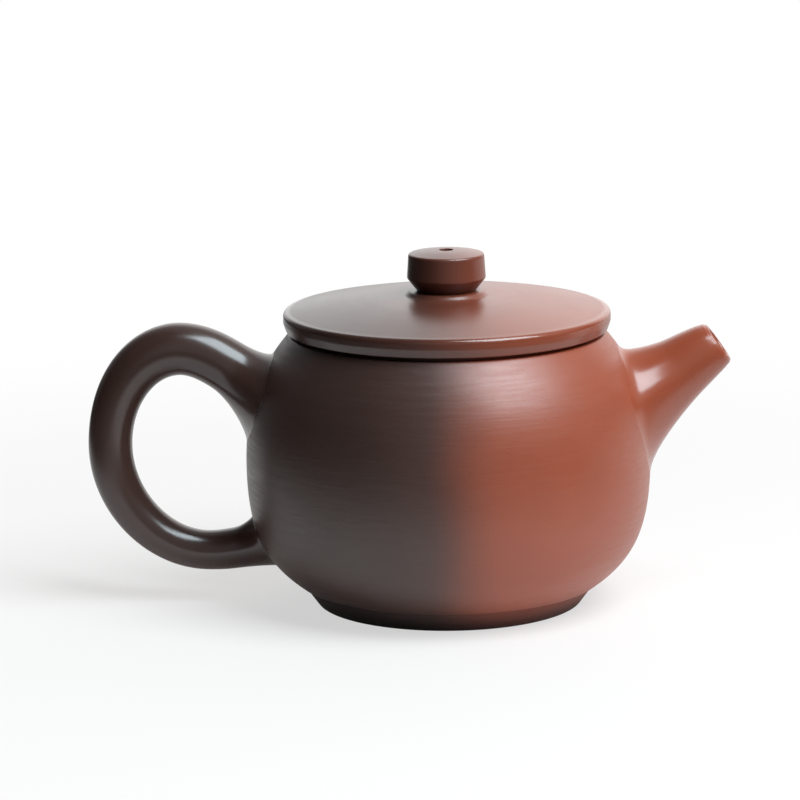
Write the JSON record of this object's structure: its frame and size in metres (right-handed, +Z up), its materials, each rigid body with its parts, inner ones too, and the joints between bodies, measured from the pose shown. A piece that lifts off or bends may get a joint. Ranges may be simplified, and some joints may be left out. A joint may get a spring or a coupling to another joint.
{
  "type": "clay teapot",
  "caption": "Small unglazed clay teapot with a ring handle, a short spout, an inner strainer and a lift-off lid with a pierced knob.",
  "frame": {"origin": "on the table, below the middle of the pot's length from the back of the handle to the spout's lower lip", "axes": "+X towards the spout, +Z up, the pot's own axis upright at X = +8.1 mm"},
  "size_m": [0.1346, 0.0846, 0.0745],
  "materials": {
    "dark_clay": "burnished unglazed clay, satin, fired dark",
    "mixed_clay": "burnished unglazed clay, satin, dark on one side and red-brown on the other",
    "red_clay": "burnished unglazed clay, satin, fired red-brown"
  },
  "bodies": {
    "pot": {"foot_ring": "mixed_clay", "base_disc": "mixed_clay", "belly_lower": "mixed_clay", "belly_upper": "mixed_clay", "mouth_ring": "mixed_clay", "spout": "red_clay", "strainer": "red_clay", "handle": "dark_clay"},
    "lid": {"lid_plate": "mixed_clay", "lid_flange": "mixed_clay", "knob_collar": "mixed_clay", "knob": "mixed_clay"}
  },
  "joints": [
    {"name": "lid_lift", "type": "slide", "parent": "pot", "child": "lid", "axis": [0, 0, 1], "range_m": [0, 0.05]}
  ]
}
